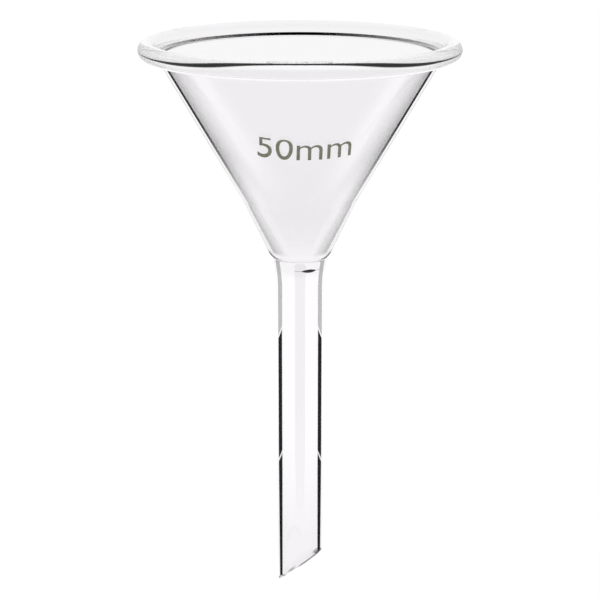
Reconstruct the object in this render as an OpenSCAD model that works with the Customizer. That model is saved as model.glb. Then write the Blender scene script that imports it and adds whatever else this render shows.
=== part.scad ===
// Conical filter funnel of clear glass, blown as one piece: a cone with a beaded rim,
// a throat blended into a straight stem, and a drawn-in stem end that is ground at a slant.
// The origin lies on the axis at the top of the stem's straight wall. +Z points up to the mouth.

/* [Rim] */
// Outside diameter of the rim
rim_d = 50; // [40:0.5:70]
// Radius of the rounded bead along the mouth's edge
bead_r = 1.4; // [1:0.05:2]
// Rise of the bead's underside towards the cone, in degrees
underside_rise = 20; // [0:1:35]
// Radius of the fillet between the bead's underside and the cone
lip_fillet_r = 0.4; // [0.2:0.1:0.6]

/* [Cone] */
// Full angle of the cone, in degrees
cone_angle = 60; // [50:1:70]
// Thickness of the cone's wall
cone_wall = 0.7; // [0.5:0.05:1.2]
// Radius of the outside fillet where the cone runs into the stem
throat_r = 7; // [3:0.5:12]

/* [Stem] */
// Outside diameter of the stem's straight part
stem_d = 7.6; // [6:0.1:10]
// Thickness of the wall along the straight part
stem_wall = 0.75; // [0.5:0.05:1.2]
// Length from the top of the straight part to the tip of the slanted end
stem_len = 55; // [40:1:80]
// Length of the lower end over which the outside is drawn in
taper_len = 22; // [12:1:30]
// Thickness of the wall at the tip
tip_wall = 0.5; // [0.4:0.05:0.9]

/* [Slanted end] */
// Slope of the ground end face above the horizontal, in degrees
bevel_angle = 39; // [20:1:55]
// Turn of the long side from -X towards +Y, in degrees
bevel_turn = 24; // [-180:1:180]

/* [Hidden] */
$fn = 180;

half_angle = cone_angle / 2;
stem_r = stem_d / 2;
bore_r = stem_r - stem_wall;
tip_r = bore_r + tip_wall;

// Length by which the tube runs past the tip before its end is cut at a slant
overrun = tip_wall;
taper_slope = (stem_r - tip_r) / taper_len;
trimmed_r = tip_r - taper_slope * overrun;

// Share of its radius at which an arc's centre lies from the sides that it blends,
// just under 1 so that arc and side cross, at under 3 degrees, and don't only touch
blend_share = 0.999;

// Directions in the section plane, each as [radius, height] with length 1
down_stem = [0, -1];
up_cone = [sin(half_angle), cos(half_angle)];
off_cone = [cos(half_angle), -sin(half_angle)];
along_underside = [cos(underside_rise), -sin(underside_rise)];
off_underside = [-sin(underside_rise), -cos(underside_rise)];

// Outside corner of stem and cone, whose fillet ends just above the origin's height
throat_z = throat_r * tan(half_angle / 2);
throat_corner = [stem_r, throat_z];

// Inside corner of bore and cone, on the line one wall inside the cone
inside_r = stem_r - cone_wall / cos(half_angle);
bore_corner = [bore_r, throat_z + (bore_r - inside_r) / tan(half_angle)];
bore_round_r = throat_r + stem_wall;

// The bead reaches the rim's diameter, and the cone's inside runs smoothly onto it
bead_x = rim_d / 2 - bead_r;
bead_side = bead_r * blend_share;
bead_z = throat_z + (bead_x - bead_side / cos(half_angle) - inside_r) / tan(half_angle);
bead_centre = [bead_x, bead_z];
bead_inside = bead_centre - bead_side * off_cone;
bead_under = bead_centre + bead_side * off_underside;

// The underside leaves the bead smoothly and rises to where it meets the cone's outside
underside_gap = bead_under[0] - stem_r - (bead_under[1] - throat_z) * tan(half_angle);
underside_len = underside_gap / (cos(underside_rise) + sin(underside_rise) * tan(half_angle));
lip_corner = bead_under - underside_len * along_underside;

// Wall section with plain corners, from the tube's end up the outside and back down the inside
wall_outline = [
    [bore_r, -stem_len - overrun],
    [trimmed_r, -stem_len - overrun],
    [stem_r, taper_len - stem_len],
    throat_corner,
    lip_corner,
    bead_under,
    bead_centre,
    bead_inside,
    bore_corner
];

// Area between a corner and the arc that blends its two sides, with a root that reaches past the corner
module corner_area(corner, side_a, side_b, radius) {
    half_opening = acos(side_a * side_b) / 2;
    root = cone_wall / 2;
    centre_gap = radius * blend_share;
    reach = centre_gap / tan(half_opening);
    bisector = (side_a + side_b) / norm(side_a + side_b);
    centre = corner + bisector * centre_gap / sin(half_opening);
    difference() {
        polygon([corner - root * bisector, corner + reach * side_a, centre, corner + reach * side_b]);
        translate(centre) circle(radius);
    }
}

// Section of the glass wall, as radius and height
module wall_section() {
    difference() {
        union() {
            polygon(wall_outline);
            translate(bead_centre) circle(bead_r);
            corner_area(throat_corner, down_stem, up_cone, throat_r);
            corner_area(lip_corner, -up_cone, along_underside, lip_fillet_r);
        }
        corner_area(bore_corner, down_stem, up_cone, bore_round_r);
    }
}

// Block whose upper face is the plane of the slanted end, through the tip of the long side
module end_cut() {
    across = 2 * stem_d;
    along = across / cos(bevel_angle);
    depth = across;
    rotate([0, 0, 180 - bevel_turn])
        translate([tip_r, 0, -stem_len])
            rotate([0, bevel_angle, 0])
                translate([-along, -across / 2, -depth])
                    cube([along + depth, across, depth]);
}

module funnel() {
    color("aliceblue", 0.4)
        difference() {
            rotate_extrude() wall_section();
            end_cut();
        }
}

funnel();
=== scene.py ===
import math

import bmesh
import bpy
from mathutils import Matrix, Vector


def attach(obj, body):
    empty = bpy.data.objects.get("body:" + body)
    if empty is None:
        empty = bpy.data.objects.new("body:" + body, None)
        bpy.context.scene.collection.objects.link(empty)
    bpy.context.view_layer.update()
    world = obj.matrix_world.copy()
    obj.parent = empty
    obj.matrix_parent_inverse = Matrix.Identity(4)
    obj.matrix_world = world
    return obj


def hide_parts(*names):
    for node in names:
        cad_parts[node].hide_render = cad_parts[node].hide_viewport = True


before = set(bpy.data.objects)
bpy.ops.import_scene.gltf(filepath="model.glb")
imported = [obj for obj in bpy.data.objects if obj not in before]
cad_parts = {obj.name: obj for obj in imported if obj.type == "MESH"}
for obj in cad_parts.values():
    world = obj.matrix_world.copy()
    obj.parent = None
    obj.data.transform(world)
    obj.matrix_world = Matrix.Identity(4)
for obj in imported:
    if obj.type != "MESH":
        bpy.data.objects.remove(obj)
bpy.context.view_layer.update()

# Lengths and heights are millimetres, as in the part's source. MM turns them into metres.
MM = 0.001

# Funnel, with the sizes of the part's source
RIM_R = 25.0
BEAD_R = 1.4
UNDERSIDE_RISE = math.radians(20)
LIP_FILLET_R = 0.4
HALF_ANGLE = math.radians(30)
CONE_WALL = 0.7
THROAT_R = 7.0
STEM_R = 3.8
STEM_WALL = 0.75
STEM_LEN = 55.0
TAPER_LEN = 22.0
TIP_WALL = 0.5
BEVEL_ANGLE = math.radians(39)
BEVEL_TURN = math.radians(24)

# Thickened foot of the cone, with a shoulder over the seam, and the flared top of the stem
FLARE_LEN = 3.5
FLARE_R = 25.0
SEAM_Z = 1.6
SEAM_ROUND = 0.2
SHOULDER_R = 4.9
SHOULDER_Z = 2.2
SHOULDER_ROUND = 0.35
FOOT_TOP_Z = 11.0
FOOT_EXTRA = 0.35

# Fire polish on both edges of the slanted end, and the gap from it to the stem's lowest ring of points
EDGE_R = 0.22
EDGE_RISE = 0.3

# Steps of the glass mesh
AROUND = 240
STEM_STEPS = 40
FOOT_STEPS = 12
CONE_STEPS = 30
CREASE_STEPS = 4
LIP_STEPS = 20
BEAD_STEPS = 54
THROAT_STEPS = 14
EDGE_STEPS = 5

# Size mark, a thin layer of enamel on the cone's front
MARK_TEXT = "50mm"
MARK_WIDTH = 14.5
MARK_HEIGHT = 3.95
MARK_BASE_Z = 20.1
MARK_MIDDLE = math.radians(2.75)
MARK_THICK = 0.03
MARK_GAP = 0.003
MARK_STRIPS = 48

# Rise of the line of letters at both ends, and how far their middles are pushed up, as a share
MARK_RISE = 0.5
MARK_LIFT_SHARE = 0.36

# Letters in their own units: change of stroke, depth, distance at which points merge, steps of a curve
LETTER_STROKE = -0.002
LETTER_DEPTH = 1.0
LETTER_MERGE = 1e-5
LETTER_STEPS = 6

# Clear glass, and the black that its painted dark lines and painted shade are mixed from
GLASS_TINT = (0.998, 0.986, 0.999, 1.0)
GLASS_IOR = 1.473
BLACK = (0.0, 0.0, 0.0, 1.0)

# Painted brightness of the front wall by depth behind its outline, in wall thicknesses: painted dark edge
# lines and greys
DEPTH_SPAN = (0.0, 10.0)
CONE_PAINTED_EDGE = (
    (0.0, 0.72), (0.15, 0.75), (0.3, 0.97), (0.5, 0.95), (0.62, 0.03), (0.88, 0.01), (1.08, 0.52),
    (1.5, 0.56), (1.9, 0.66), (2.6, 0.77), (3.2, 0.83), (3.7, 0.88), (4.3, 0.93), (4.6, 0.97),
    (5.0, 1.0), (6.0, 1.0), (6.8, 0.97), (7.6, 0.94), (9.0, 0.92),
)
FOOT_PAINTED_EDGE = (
    (0.0, 0.80), (0.2, 0.95), (0.5, 0.95), (0.62, 0.57), (0.8, 0.59), (1.3, 0.74), (1.9, 0.87),
    (2.4, 0.97), (3.0, 0.98), (4.0, 0.94), (9.8, 0.92),
)
STEM_PAINTED_EDGE = (
    (0.0, 0.80), (0.06, 1.0), (0.32, 1.0), (0.42, 0.02), (1.08, 0.02), (1.18, 0.98), (3.3, 1.0),
)

# Share of the true depth that is used, which sets the width of the painted dark lines, on the stem
# and on the cone, where it grows by CONE_LINE_RISE for each millimetre of height
STEM_LINE_SHARE = 0.95
CONE_LINE_SHARE = 0.49
CONE_LINE_RISE = 0.0035

# Least cosine that the middle of a wall is taken to have, for views nearly along the wall
LEAST_SQUARE_ON = 0.1

# Heights over which the foot's painted edge shading gives way to the cone's
FOOT_FADE = (13.0, 20.0)

# Least brightness of the cone's painted dark edge line by height: pale near the throat, black towards the
# rim
PAINTED_EDGE_LEAST = ((14.0, 0.5), (18.0, 0.28), (22.0, 0.1), (25.0, 0.0))

# Least brightness of the stem's painted dark edge lines by height: two breaks, then pale up to the throat.
# The heights rise by BREAK_SLOPE for each wall thickness of depth, down to BREAK_DEPTH.
STEM_PAINTED_LEAST = (
    (-33.95, 0.0), (-33.8, 0.85), (-33.4, 0.85), (-33.25, 0.0),
    (-12.65, 0.0), (-12.5, 1.0), (-12.2, 1.0), (-12.05, 0.52),
)
BREAK_SPAN = (-40.0, 0.0)
BREAK_SLOPE = 2.43
BREAK_DEPTH = (1.3, 1.5)

# Soft grey stripe of painted shade down the middle of the stem: its edge, and its darkness by height
PAINTED_STRIPE_EDGE = (0.970, 0.982)
PAINTED_STRIPE_DARK = ((-43.0, 0.0), (-35.0, 0.07), (-22.0, 0.12))

# Painted brightness of walls seen square on, by height, and painted shading round the bead by degrees
# up from straight out
STEM_PAINTED_TONE = ((-46.0, 0.90), (-36.0, 0.965), (-27.0, 1.0))
CONE_PAINTED_TONE = ((3.0, 0.92), (10.0, 0.95), (14.0, 0.965), (24.0, 0.99))
INSIDE_PAINTED_TONE = ((1.0, 1.0), (6.0, 0.93), (34.3, 0.93), (34.7, 0.865), (35.4, 0.88))
BEAD_PAINTED_TONE = (
    (-39.0, 1.0), (-31.0, 0.89), (5.0, 0.89), (25.0, 0.94), (81.0, 0.98), (112.0, 0.92), (150.0, 0.88),
)
OTHER_PAINTED_TONE = 0.94

# Painted dark line on the inside wall under the rim, in place of the rim's refraction, strongest where
# that wall is seen square on
PAINTED_INNER_LINE_Z = 34.17
PAINTED_INNER_LINE_HALF = (0.21, 0.25)
PAINTED_INNER_LINE_STRENGTH = ((0.1, 0.0), (0.3, 0.3), (0.47, 0.5), (0.76, 0.8), (0.92, 1.0))

# Painted shade in the crease between bead and cone: its reach down the cone and up the lip, and the
# cosines of the angles between which it fades
CREASE_BELOW = 0.15
CREASE_ABOVE = 0.17
CREASE_SOFT = 0.02
CREASE_SEEN = (0.76, 0.83)

# Painted shade on the shoulder, by the cosines of the angles between which it fades
SEAM_SEEN = (0.20, 0.42)
SEAM_PAINTED_DARK = 0.8

# Painted dark arc inside the seam, widest to one side of the front
RING_WIDEST = math.radians(26)
RING_REACH = math.radians(22)
PAINTED_RING_HALF = 0.26
RING_SOFT = 0.04
RING_THIN_HALF = 0.02
RING_THIN_REACH = math.radians(40)
NO_PAINTED_RING = -1.0

# Painted shade on the slanted end's edges by height: at the tip, and at the short side
END_PAINTED_DARK = ((-54.3, 1.0), (-53.7, 0.0), (-51.2, 0.0), (-50.6, 0.7))

# Olive-grey enamel, with two shades by the noise that mottles it
ENAMEL_SHADES = ((0.30, (0.17, 0.17, 0.12, 1.0)), (0.70, (0.28, 0.28, 0.21, 1.0)))
ENAMEL_GRAIN = 2200.0
ENAMEL_DETAIL = 3.0
ENAMEL_ROUGHNESS = 0.6

# White surroundings, with their light on matt surfaces, and a glowing floor below the tip
WHITE = (1.0, 1.0, 1.0, 1.0)
AMBIENT = 0.76
FLOOR_DROP = 60.0
FLOOR_R = 3000.0
FLOOR_SIDES = 96
FLOOR_COLOUR = (0.9, 0.9, 0.9, 1.0)
FLOOR_GLOW = 1.13
FLOOR_GLOW_SHARE = 0.75
LIGHT_BOUNCES = 160

# Camera, from a perspective fit of the photograph's outlines
CAMERA_AT = (0.0, -261.37, 71.39)
CAMERA_DOWN = math.radians(16.439)
CAMERA_LENS = 101.56
CAMERA_SENSOR = 36.0


def moved(point, direction, length):
    """A point of the section moved along a direction."""
    return (point[0] + direction[0] * length, point[1] + direction[1] * length)


def along(a, b, steps):
    """Points from a to b, without b."""
    way = (b[0] - a[0], b[1] - a[1])
    return [moved(a, way, i / steps) for i in range(steps)]


def arc(centre, radius, start, end, steps):
    """Points of an arc from one angle to another, without the last."""
    turns = [start + (end - start) * i / steps for i in range(steps)]
    return [moved(centre, (math.cos(turn), math.sin(turn)), radius) for turn in turns]


def rounded(before, corner, after, size):
    """Points that round a corner of the section, from a size before it to a size after it."""
    b = Vector(corner)
    a = b + (Vector(before) - b).normalized() * size
    c = b + (Vector(after) - b).normalized() * size
    shares = [i / EDGE_STEPS for i in range(EDGE_STEPS + 1)]
    return [tuple((1 - t) ** 2 * a + 2 * t * (1 - t) * b + t ** 2 * c) for t in shares]


def between(value, low, high):
    """0 below low, 1 above high."""
    return min(1.0, max(0.0, (value - low) / (high - low)))


def by_stops(value, stops):
    """The level at a value, from (value, level) stops."""
    level = stops[0][1]
    for (low, _), (high, next_level) in zip(stops, stops[1:]):
        level += (next_level - level) * between(value, low, high)
    return level


# Directions in the section plane, as (radius, height) with length 1
UP = (0.0, 1.0)
OUT = (1.0, 0.0)
UP_CONE = (math.sin(HALF_ANGLE), math.cos(HALF_ANGLE))
OFF_CONE = (math.cos(HALF_ANGLE), -math.sin(HALF_ANGLE))
ALONG_UNDERSIDE = (math.cos(UNDERSIDE_RISE), -math.sin(UNDERSIDE_RISE))
OFF_UNDERSIDE = (-math.sin(UNDERSIDE_RISE), -math.cos(UNDERSIDE_RISE))

# Stem and bore, and the line one wall inside the cone
BORE_R = STEM_R - STEM_WALL
TIP_R = BORE_R + TIP_WALL
CONE_SLOPE = math.tan(HALF_ANGLE)
THROAT_Z = THROAT_R * math.tan(HALF_ANGLE / 2)
INSIDE_R = STEM_R - CONE_WALL / math.cos(HALF_ANGLE)
BORE_CORNER_Z = THROAT_Z + (BORE_R - INSIDE_R) / CONE_SLOPE
BORE_ROUND_R = THROAT_R + STEM_WALL
BORE_TOP = (BORE_R, BORE_CORNER_Z - BORE_ROUND_R * math.tan(HALF_ANGLE / 2))

# The bead's centre, where the cone's inside runs smoothly onto the bead
BEAD_X = RIM_R - BEAD_R
BEAD_Z = THROAT_Z + (BEAD_X - BEAD_R / math.cos(HALF_ANGLE) - INSIDE_R) / CONE_SLOPE
BEAD = (BEAD_X, BEAD_Z)


def cone_r(z):
    """Outside radius of the plain cone at a height."""
    return STEM_R + (z - THROAT_Z) * CONE_SLOPE


# The underside from the bead to the cone, and the start of the fillet between them
UNDER_END = moved(BEAD, OFF_UNDERSIDE, BEAD_R)
UNDER_GAP = UNDER_END[0] - cone_r(UNDER_END[1])
UNDER_LEN = UNDER_GAP / (ALONG_UNDERSIDE[0] - ALONG_UNDERSIDE[1] * CONE_SLOPE)
LIP_CORNER = moved(UNDER_END, ALONG_UNDERSIDE, -UNDER_LEN)
LIP_TURN = math.pi / 2 - HALF_ANGLE + UNDERSIDE_RISE
LIP_REACH = LIP_FILLET_R * math.tan(LIP_TURN / 2)
LIP_START = moved(LIP_CORNER, UP_CONE, -LIP_REACH)
FOOT_TOP = (cone_r(FOOT_TOP_Z), FOOT_TOP_Z)


def outside_r(z):
    """Outside radius of the stem at a height."""
    drawn = max(0.0, TAPER_LEN - STEM_LEN - z) / TAPER_LEN
    flared = max(0.0, z + FLARE_LEN) ** 2 / (2 * FLARE_R)
    return STEM_R - (STEM_R - TIP_R) * drawn + flared


def end_height(r, turn):
    """Height of the slanted end's plane at a radius and a turn round the axis."""
    towards_short = r * math.cos(turn + BEVEL_TURN)
    return -STEM_LEN + math.tan(BEVEL_ANGLE) * (TIP_R + towards_short)


def foot_path():
    """Outside of the stem's flared top, the seam, the shoulder and the cone's foot, by zone."""
    heights = [SEAM_Z * i / FOOT_STEPS for i in range(FOOT_STEPS)]
    flare = [(outside_r(z), z) for z in heights]
    seam = (outside_r(SEAM_Z), SEAM_Z)
    shoulder = (SHOULDER_R, SHOULDER_Z)
    seam_points = rounded(flare[-1], seam, shoulder, SEAM_ROUND)
    shoulder_points = rounded(seam, shoulder, FOOT_TOP, SHOULDER_ROUND)
    # The seam's rounding takes the place of the flare's last two points
    return [
        ("throat", flare[:-2] + seam_points[:-1]),
        ("shoulder", seam_points[-1:] + shoulder_points),
        ("cone", along(shoulder_points[-1], FOOT_TOP, FOOT_STEPS)[1:]),
    ]


def rim_path():
    """Outside of the cone, the crease, the lip's fillet, the underside and the bead, by zone."""
    crease = moved(LIP_START, UP_CONE, -CREASE_BELOW)
    lip_centre = moved(LIP_START, OFF_CONE, LIP_FILLET_R)
    lip_end = moved(LIP_CORNER, ALONG_UNDERSIDE, LIP_REACH)
    to_cone = math.pi - HALF_ANGLE
    to_underside = -math.pi / 2 - UNDERSIDE_RISE
    return [
        ("cone", along(FOOT_TOP, crease, CONE_STEPS)),
        ("crease", along(crease, LIP_START, CREASE_STEPS)),
        ("lip", arc(lip_centre, LIP_FILLET_R, to_cone, to_cone - LIP_TURN, LIP_STEPS)),
        ("under", along(lip_end, UNDER_END, LIP_STEPS)),
        ("bead", arc(BEAD, BEAD_R, to_underside, to_cone, BEAD_STEPS)),
    ]


def inside_path():
    """Inside of the cone and of the throat, by zone."""
    bead_inside = moved(BEAD, OFF_CONE, -BEAD_R)
    round_centre = moved(BORE_TOP, OUT, BORE_ROUND_R)
    round_start = moved(round_centre, OFF_CONE, -BORE_ROUND_R)
    to_cone = math.pi - HALF_ANGLE
    return [
        ("inside", along(bead_inside, round_start, CONE_STEPS)),
        ("inside", arc(round_centre, BORE_ROUND_R, to_cone, math.pi, THROAT_STEPS)),
        ("inside", [BORE_TOP]),
    ]


def wall_path():
    """The glass wall from the stem's top, over the bead, to the top of the bore, as (r, z, zone)."""
    zones = foot_path() + rim_path() + inside_path()
    return [(r, z, zone) for zone, points in zones for r, z in points]


def section(turn, path):
    """The closed section of the glass at one turn round the axis, as (r, z, zone)."""
    # The outside is drawn in, so its radius at the end's plane takes a second step
    foot_out = end_height(outside_r(end_height(TIP_R, turn)), turn)
    out_corner = (outside_r(foot_out), foot_out)
    in_corner = (BORE_R, end_height(BORE_R, turn))
    out_edge = rounded(moved(out_corner, UP, EDGE_R), out_corner, in_corner, EDGE_R)
    in_edge = rounded(out_corner, in_corner, moved(in_corner, UP, EDGE_R), EDGE_R)

    # The outer edge's first point lies on the end face
    edge_zones = ["end"] + ["edge"] * EDGE_STEPS
    points = [(r, z, zone) for (r, z), zone in zip(out_edge[::-1], edge_zones)]
    lowest = out_edge[0][1] + EDGE_RISE
    for i in range(STEM_STEPS):
        z = lowest * (1 - i / STEM_STEPS)
        points.append((outside_r(z), z, "stem"))
    points += path
    bore = along(BORE_TOP, in_edge[-1], STEM_STEPS)[1:]
    points += [(BORE_R, z, "inside") for _, z in bore]
    points += [(r, z, "end") for r, z in in_edge[::-1]]
    return points


def wall_ratio(r, z, zone):
    """Radius of curvature across the outside over the wall's thickness, times the share for its painted
    dark lines.
    """
    if zone in ("stem", "throat"):
        return r / min(r - BORE_R, STEM_WALL) * STEM_LINE_SHARE
    foot = 1 - between(z, SHOULDER_Z, FOOT_TOP_Z)
    wall = CONE_WALL + FOOT_EXTRA * foot
    return r / math.cos(HALF_ANGLE) / wall * (CONE_LINE_SHARE + CONE_LINE_RISE * z)


def wall_lean(z, zone):
    """Sine of the angle by which the outside leans out from the axis."""
    if zone in ("stem", "throat", "edge", "end"):
        return math.sin(math.atan(max(0.0, z + FLARE_LEN) / FLARE_R))
    return math.sin(HALF_ANGLE)


def painted_body_tone(r, z, zone):
    """Painted brightness of a wall seen square on."""
    if zone == "bead":
        return by_stops(math.degrees(math.atan2(z - BEAD_Z, r - BEAD_X)), BEAD_PAINTED_TONE)
    if zone == "inside":
        return by_stops(z, INSIDE_PAINTED_TONE)
    if zone == "stem":
        return by_stops(z, STEM_PAINTED_TONE)
    if zone in ("throat", "shoulder", "cone"):
        return by_stops(z, CONE_PAINTED_TONE)
    return OTHER_PAINTED_TONE


def crease_painted_shade(r, z, zone):
    """1 in the crease between bead and cone, where painted shade darkens it when seen through the glass.
    """
    reach = {"crease": CREASE_BELOW, "lip": CREASE_ABOVE}.get(zone)
    if reach is None:
        return 0.0
    return 1 - between(math.dist((r, z), LIP_START), reach - CREASE_SOFT, reach)


def painted_ring_half(turn):
    """Half the height of the painted dark arc at a turn round the axis, below 0 where there is none."""
    front = -math.pi / 2
    aside = abs((turn - front - RING_WIDEST + math.pi) % math.tau - math.pi)
    wide = max(0.0, 1 - (aside / RING_REACH) ** 2)
    fade = between(aside, RING_THIN_REACH, 2 * RING_THIN_REACH)
    return RING_THIN_HALF + PAINTED_RING_HALF * wide - fade


def shading_values(r, z, zone, turn):
    """What the glass material reads at a point of the mesh, by name, mostly for its painted shade."""
    on_stem = zone in ("stem", "throat")
    # Most of these values set the glass's painted dark lines and painted shade
    return {
        "wall_ratio": wall_ratio(r, z, zone),
        "lean": wall_lean(z, zone),
        "painted_edges_on": float(on_stem or zone == "cone"),
        "stem_share": float(z < SEAM_Z),
        "foot_share": 1 - between(z, *FOOT_FADE),
        "painted_edge_least": by_stops(z, PAINTED_EDGE_LEAST),
        "stem_height": z if on_stem or zone == "edge" else 0.0,
        "painted_stripe_dark": by_stops(z, PAINTED_STRIPE_DARK) if on_stem else 0.0,
        "painted_body_tone": painted_body_tone(r, z, zone),
        "seam": float(zone == "shoulder"),
        "crease": crease_painted_shade(r, z, zone),
        "end_painted_dark": by_stops(z, END_PAINTED_DARK) if zone == "edge" else 0.0,
        "inner_height": z if zone == "inside" else 0.0,
        "painted_ring_half": painted_ring_half(turn) if zone == "inside" else NO_PAINTED_RING,
    }


def new_piece(name, bm):
    """A scene object from a bmesh, which is freed."""
    mesh = bpy.data.meshes.new(name)
    bm.to_mesh(mesh)
    bm.free()
    obj = bpy.data.objects.new(name, mesh)
    bpy.context.scene.collection.objects.link(obj)
    return obj


def glass_funnel():
    """The funnel as one closed wall of glass, with the values of the material's painted shade on its
    vertices.
    """
    path = wall_path()
    bm = bmesh.new()
    rings = []
    values = []
    for k in range(AROUND):
        turn = math.tau * k / AROUND
        ring = []
        for r, z, zone in section(turn, path):
            ring.append(bm.verts.new((r * math.cos(turn) * MM, r * math.sin(turn) * MM, z * MM)))
            values.append(shading_values(r, z, zone, turn))
        rings.append(ring)
    for here, there in zip(rings, rings[1:] + rings[:1]):
        for i in range(len(here)):
            j = (i + 1) % len(here)
            bm.faces.new((here[i], there[i], there[j], here[j])).smooth = True
    bmesh.ops.recalc_face_normals(bm, faces=bm.faces)
    obj = new_piece("glass_funnel", bm)
    for name in values[0]:
        layer = obj.data.attributes.new(name, "FLOAT", "POINT")
        layer.data.foreach_set("value", [point[name] for point in values])
    return obj


def letters():
    """The size mark's letters as a bmesh, in the letters' own units."""
    curve = bpy.data.curves.new("size_mark", "FONT")
    curve.body = MARK_TEXT
    curve.offset = LETTER_STROKE
    curve.resolution_u = LETTER_STEPS
    curve.extrude = LETTER_DEPTH
    text = bpy.data.objects.new("size_mark_text", curve)
    bpy.context.scene.collection.objects.link(text)
    bpy.context.view_layer.update()
    shown = text.evaluated_get(bpy.context.evaluated_depsgraph_get())
    mesh = bpy.data.meshes.new_from_object(shown)
    bpy.data.objects.remove(text)
    bm = bmesh.new()
    bm.from_mesh(mesh)
    bpy.data.meshes.remove(mesh)
    bmesh.ops.remove_doubles(bm, verts=bm.verts, dist=LETTER_MERGE)
    return bm


def flat_mark():
    """The size mark as a flat bmesh with its lower left corner at the origin, in millimetres."""
    bm = letters()
    low = [min(v.co[i] for v in bm.verts) for i in (0, 1)]
    high = [max(v.co[i] for v in bm.verts) for i in (0, 1)]
    for v in bm.verts:
        right = (v.co.x - low[0]) / (high[0] - low[0])
        up = (v.co.y - low[1]) / (high[1] - low[1])
        out = (v.co.z / LETTER_DEPTH + 1) / 2
        v.co.x = right * MARK_WIDTH
        v.co.y = up * (1 + MARK_LIFT_SHARE * (1 - up)) * MARK_HEIGHT
        v.co.z = MARK_GAP + MARK_THICK * out
    for i in range(1, MARK_STRIPS):
        at = (MARK_WIDTH * i / MARK_STRIPS, 0.0, 0.0)
        whole = bm.verts[:] + bm.edges[:] + bm.faces[:]
        bmesh.ops.bisect_plane(bm, geom=whole, plane_co=at, plane_no=(1.0, 0.0, 0.0))
    return bm


def size_mark():
    """The size mark laid round the cone."""
    bm = flat_mark()
    base = (cone_r(MARK_BASE_Z), MARK_BASE_Z)
    for v in bm.verts:
        aside = v.co.x - MARK_WIDTH / 2
        up = v.co.y + MARK_RISE * (2 * aside / MARK_WIDTH) ** 2
        r, z = moved(moved(base, UP_CONE, up), OFF_CONE, v.co.z)
        turn = MARK_MIDDLE + aside / r
        v.co = Vector((r * math.sin(turn), -r * math.cos(turn), z)) * MM
    bmesh.ops.recalc_face_normals(bm, faces=bm.faces)
    return new_piece("size_mark", bm)


class Nodes:
    """A short way to write node trees."""

    # Blend of a Layer Weight node at which its Facing is 1 less the cosine
    EVEN_BLEND = 0.5

    def __init__(self, tree):
        self.tree = tree
        tree.nodes.clear()

    def add(self, kind, **settings):
        node = self.tree.nodes.new(kind)
        for name, value in settings.items():
            setattr(node, name, value)
        return node

    def put(self, value, socket):
        """Links a socket, or sets a plain value."""
        if isinstance(value, bpy.types.NodeSocket):
            self.tree.links.new(value, socket)
        else:
            socket.default_value = value

    def calc(self, operation, a, b=0.0, clamp=False):
        node = self.add("ShaderNodeMath", operation=operation, use_clamp=clamp)
        self.put(a, node.inputs[0])
        self.put(b, node.inputs[1])
        return node.outputs[0]

    def times(self, a, b):
        return self.calc("MULTIPLY", a, b)

    def less(self, a, b):
        return self.calc("SUBTRACT", a, b)

    def larger(self, a, b):
        return self.calc("MAXIMUM", a, b)

    def rest(self, value):
        """What is left of 1."""
        return self.calc("SUBTRACT", 1.0, value)

    def other_leg(self, leg):
        """Cosine from a sine, or sine from a cosine."""
        square = self.calc("SUBTRACT", 1.0, self.times(leg, leg), clamp=True)
        return self.calc("SQRT", square)

    def blend(self, share, a, b):
        """a at share 0, b at share 1."""
        node = self.add("ShaderNodeMix", data_type="FLOAT")
        self.put(share, node.inputs[0])
        self.put(a, node.inputs[2])
        self.put(b, node.inputs[3])
        return node.outputs[0]

    def step(self, value, span, levels):
        """A smooth step from one level to another over a span of values."""
        node = self.add("ShaderNodeMapRange", interpolation_type="SMOOTHSTEP")
        self.put(value, node.inputs["Value"])
        node.inputs["From Min"].default_value, node.inputs["From Max"].default_value = span
        node.inputs["To Min"].default_value, node.inputs["To Max"].default_value = levels
        return node.outputs["Result"]

    def ramp(self, value, stops, span=(0.0, 1.0)):
        """Grey levels by value, from (value, level) stops within a span."""
        low, high = span
        node = self.add("ShaderNodeValToRGB")
        share = self.calc("DIVIDE", self.less(value, low), high - low, clamp=True)
        self.put(share, node.inputs[0])
        elements = node.color_ramp.elements
        while len(elements) > 1:
            elements.remove(elements[-1])
        for i, (at, level) in enumerate(stops):
            position = (at - low) / (high - low)
            element = elements[0] if i == 0 else elements.new(position)
            element.position = position
            element.color = (level, level, level, 1.0)
        return node.outputs["Color"]

    def attribute(self, name):
        """A value kept on the mesh."""
        return self.add("ShaderNodeAttribute", attribute_name=name).outputs["Fac"]

    def axis(self):
        """The piece's own Z axis."""
        up = self.add("ShaderNodeCombineXYZ")
        up.inputs["Z"].default_value = 1.0
        turned = self.add("ShaderNodeVectorTransform", vector_type="NORMAL")
        turned.convert_from = "OBJECT"
        turned.convert_to = "WORLD"
        self.put(up.outputs[0], turned.inputs[0])
        return turned.outputs[0]

    def slant(self, normal=None):
        """Cosine of the angle at which a ray meets the surface, or another direction."""
        node = self.add("ShaderNodeLayerWeight")
        node.inputs["Blend"].default_value = self.EVEN_BLEND
        if normal is not None:
            self.put(normal, node.inputs["Normal"])
        return self.rest(node.outputs["Facing"])

    def mix(self, share, a, b):
        """Shader a at share 0, shader b at share 1."""
        node = self.add("ShaderNodeMixShader")
        self.put(share, node.inputs[0])
        self.put(a.outputs[0], node.inputs[1])
        self.put(b.outputs[0], node.inputs[2])
        return node

    def show(self, shader, kind="ShaderNodeOutputMaterial"):
        """Makes a shader the tree's surface."""
        self.put(shader.outputs[0], self.add(kind).inputs["Surface"])


def new_material(name):
    """A material and its empty node tree."""
    mat = bpy.data.materials.new(name)
    mat.use_nodes = True
    return mat, Nodes(mat.node_tree)


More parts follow.
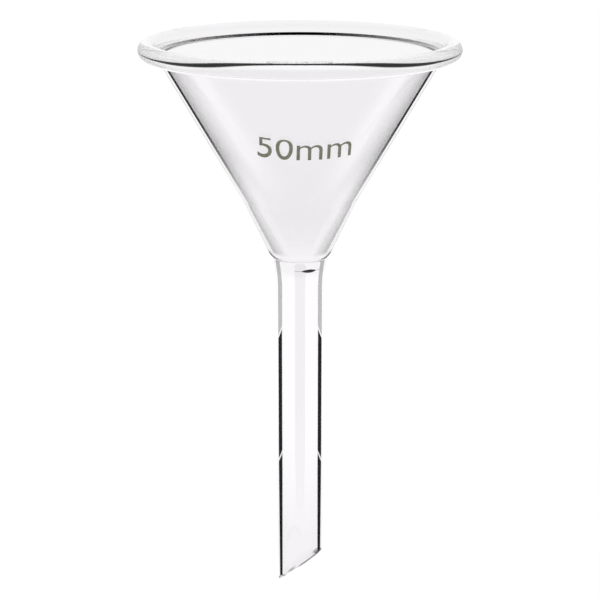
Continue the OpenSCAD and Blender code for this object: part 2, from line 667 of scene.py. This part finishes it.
def across_wall(n, cosine):
    """How squarely the wall is seen round the axis: 0 at the outline, 1 at the middle, from any height."""
    lift = n.slant(n.axis())
    lean = n.attribute("lean")
    square_on = n.less(n.times(n.other_leg(lift), n.other_leg(lean)), n.times(lift, lean))
    return n.calc("DIVIDE", cosine, n.larger(square_on, LEAST_SQUARE_ON), clamp=True)


def cone_painted_level(n, depth):
    """Painted brightness of the cone's front, with its painted dark edge lines."""
    cone = n.ramp(depth, CONE_PAINTED_EDGE, DEPTH_SPAN)
    foot = n.ramp(depth, FOOT_PAINTED_EDGE, DEPTH_SPAN)
    edge = n.blend(n.attribute("foot_share"), cone, foot)
    return n.larger(edge, n.attribute("painted_edge_least"))


def stem_painted_level(n, depth, across):
    """Painted brightness of the stem's front, with its painted dark edge lines, their breaks and the
    painted grey stripe.
    """
    edge = n.ramp(depth, STEM_PAINTED_EDGE, DEPTH_SPAN)
    height = n.less(n.attribute("stem_height"), n.times(depth, BREAK_SLOPE))
    least = n.ramp(height, STEM_PAINTED_LEAST, BREAK_SPAN)
    edge = n.larger(edge, n.times(least, n.step(depth, BREAK_DEPTH, (1.0, 0.0))))
    painted_stripe = n.times(n.step(across, PAINTED_STRIPE_EDGE, (0.0, 1.0)), n.attribute("painted_stripe_dark"))
    return n.times(edge, n.rest(painted_stripe))


def painted_inner_line(n, cosine):
    """Painted darkness of the line on the inside wall under the rim."""
    off_line = n.calc("ABSOLUTE", n.less(n.attribute("inner_height"), PAINTED_INNER_LINE_Z))
    line = n.step(off_line, PAINTED_INNER_LINE_HALF, (1.0, 0.0))
    return n.times(line, n.ramp(cosine, PAINTED_INNER_LINE_STRENGTH))


def front_level(n, cosine):
    """Painted brightness of the glass for rays that come from outside it."""
    across = across_wall(n, cosine)
    depth = n.times(n.rest(n.other_leg(across)), n.attribute("wall_ratio"))
    edge = n.blend(n.attribute("stem_share"), cone_painted_level(n, depth), stem_painted_level(n, depth, across))
    level = n.times(n.blend(n.attribute("painted_edges_on"), 1.0, edge), n.attribute("painted_body_tone"))
    # Painted shade on the shoulder, and at the slanted end's edges
    seam = n.times(n.attribute("seam"), n.step(cosine, SEAM_SEEN, (SEAM_PAINTED_DARK, 0.0)))
    level = n.times(level, n.rest(n.larger(seam, n.attribute("end_painted_dark"))))
    return n.times(level, n.rest(painted_inner_line(n, cosine)))


def back_shade(n, cosine):
    """Painted shade of the glass for rays inside it: in the crease, in the seam's arc and at the end."""
    crease = n.times(n.attribute("crease"), n.step(cosine, CREASE_SEEN, (1.0, 0.0)))
    height = n.calc("ABSOLUTE", n.attribute("inner_height"))
    past_painted_ring = n.less(height, n.attribute("painted_ring_half"))
    ring = n.step(past_painted_ring, (-RING_SOFT, RING_SOFT), (1.0, 0.0))
    return n.larger(n.larger(crease, ring), n.attribute("end_painted_dark"))


def glass_material():
    """Clear glass, mixed with black where it has dark lines."""
    mat, n = new_material("clear_glass")
    cosine = n.slant()
    inside = n.add("ShaderNodeNewGeometry").outputs["Backfacing"]
    shade = n.blend(inside, n.rest(front_level(n, cosine)), back_shade(n, cosine))
    glass = n.add("ShaderNodeBsdfPrincipled")
    glass.inputs["Base Color"].default_value = GLASS_TINT
    glass.inputs["Roughness"].default_value = 0.0
    glass.inputs["IOR"].default_value = GLASS_IOR
    glass.inputs["Transmission Weight"].default_value = 1.0
    dark = n.add("ShaderNodeBsdfDiffuse")
    dark.inputs["Color"].default_value = BLACK
    n.show(n.mix(shade, glass, dark))
    return mat


def enamel_material():
    """Olive-grey enamel, a little mottled."""
    mat, n = new_material("enamel")
    noise = n.add("ShaderNodeTexNoise")
    noise.inputs["Scale"].default_value = ENAMEL_GRAIN
    noise.inputs["Detail"].default_value = ENAMEL_DETAIL
    n.put(n.add("ShaderNodeTexCoord").outputs["Object"], noise.inputs["Vector"])
    colour = n.add("ShaderNodeValToRGB")
    n.put(noise.outputs["Fac"], colour.inputs[0])
    for element, (at, shade) in zip(colour.color_ramp.elements, ENAMEL_SHADES):
        element.position = at
        element.color = shade
    enamel = n.add("ShaderNodeBsdfPrincipled")
    n.put(colour.outputs["Color"], enamel.inputs["Base Color"])
    enamel.inputs["Roughness"].default_value = ENAMEL_ROUGHNESS
    n.show(enamel)
    return mat


def seen(n):
    """1 for rays that show the surroundings: from the camera, in reflections and through glass."""
    path = n.add("ShaderNodeLightPath")
    either = n.calc("ADD", path.outputs["Is Camera Ray"], path.outputs["Is Glossy Ray"])
    return n.calc("ADD", either, path.outputs["Is Transmission Ray"], clamp=True)


def studio_world():
    """White surroundings, dimmer as light on matt surfaces."""
    world = bpy.data.worlds.new("studio")
    bpy.context.scene.world = world
    world.use_nodes = True
    n = Nodes(world.node_tree)
    background = n.add("ShaderNodeBackground")
    background.inputs["Color"].default_value = WHITE
    n.put(n.blend(seen(n), AMBIENT, 1.0), background.inputs["Strength"])
    n.show(background, "ShaderNodeOutputWorld")


def floor_material():
    """Matt white that glows, so that it is as white as the surroundings."""
    mat, n = new_material("white_floor")
    matt = n.add("ShaderNodeBsdfDiffuse")
    matt.inputs["Color"].default_value = FLOOR_COLOUR
    bright = n.add("ShaderNodeEmission")
    bright.inputs["Strength"].default_value = FLOOR_GLOW
    n.show(n.mix(n.times(seen(n), FLOOR_GLOW_SHARE), matt, bright))
    return mat


def floor():
    """A wide round floor below the tip, which isn't part of the object."""
    bm = bmesh.new()
    bmesh.ops.create_circle(bm, cap_ends=True, segments=FLOOR_SIDES, radius=FLOOR_R * MM)
    obj = new_piece("floor", bm)
    obj.location.z = (-STEM_LEN - FLOOR_DROP) * MM
    obj.data.materials.append(floor_material())


def camera():
    """The camera, level from side to side and tilted down at the funnel."""
    data = bpy.data.cameras.new("camera")
    data.lens = CAMERA_LENS
    data.sensor_width = CAMERA_SENSOR
    obj = bpy.data.objects.new("camera", data)
    obj.location = Vector(CAMERA_AT) * MM
    obj.rotation_euler = (math.pi / 2 - CAMERA_DOWN, 0.0, 0.0)
    bpy.context.scene.collection.objects.link(obj)
    bpy.context.scene.camera = obj


camera()
studio_world()
floor()

funnel = glass_funnel()
funnel.data.materials.append(glass_material())
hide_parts("funnel")
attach(funnel, "root")

mark = size_mark()
mark.data.materials.append(enamel_material())
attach(mark, "root")

bpy.context.scene.view_settings.view_transform = "Standard"
cycles = bpy.context.scene.cycles
cycles.max_bounces = LIGHT_BOUNCES
cycles.glossy_bounces = LIGHT_BOUNCES
cycles.transmission_bounces = LIGHT_BOUNCES
